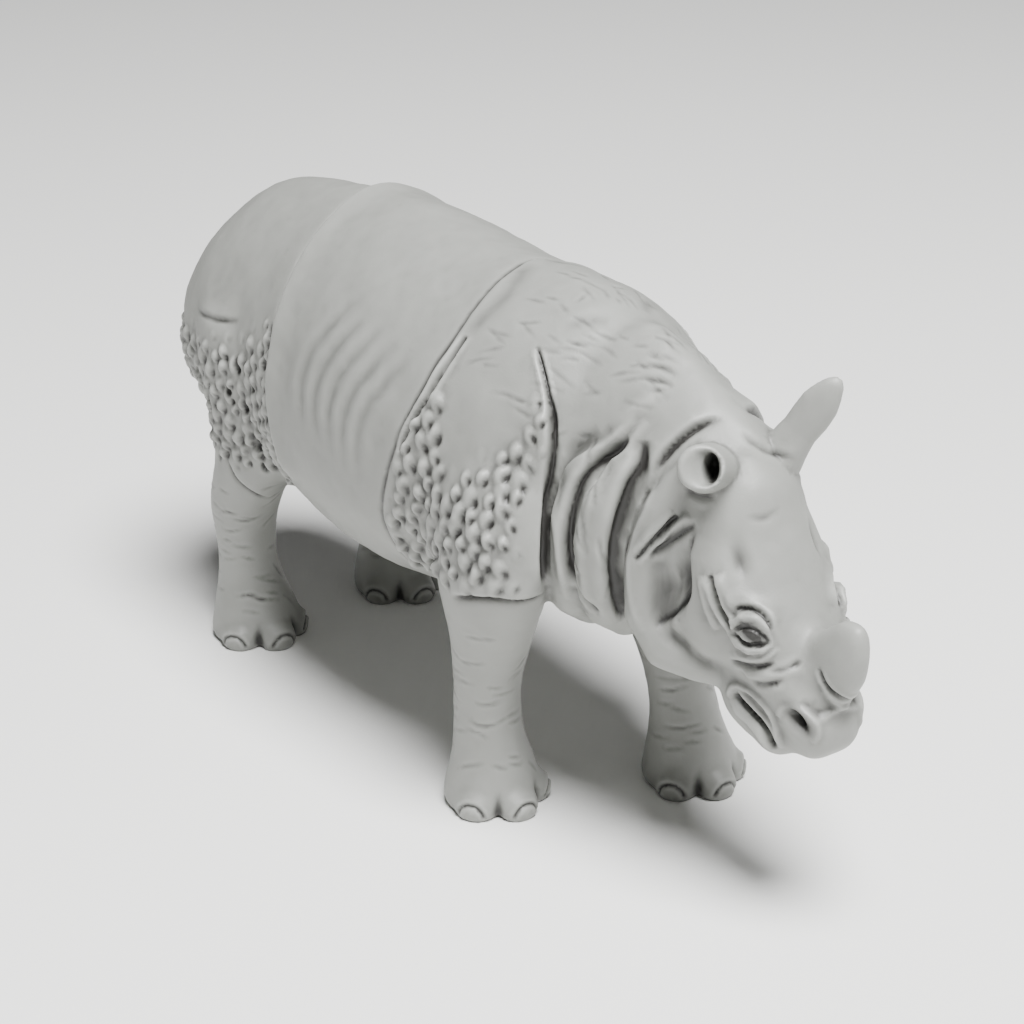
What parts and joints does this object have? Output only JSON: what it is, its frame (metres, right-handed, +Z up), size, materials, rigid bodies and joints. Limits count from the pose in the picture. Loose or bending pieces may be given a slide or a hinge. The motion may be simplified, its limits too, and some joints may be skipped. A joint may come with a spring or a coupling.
{
  "type": "rhinoceros figurine",
  "caption": "Standing Indian rhinoceros figurine in matt grey porcelain, head lowered, with plated and knobbed hide, blunt nose horn, open ears and flat-soled feet.",
  "frame": {"origin": "on the ground, under the middle of the figure's bounding box", "axes": "+X the way the animal faces, +Y its left side, +Z up"},
  "size_m": [0.3994, 0.1346, 0.2093],
  "materials": {
    "porcelain": "matt, unglazed"
  },
  "bodies": {
    "root": {"rhinoceros": "porcelain"}
  },
  "joints": []
}
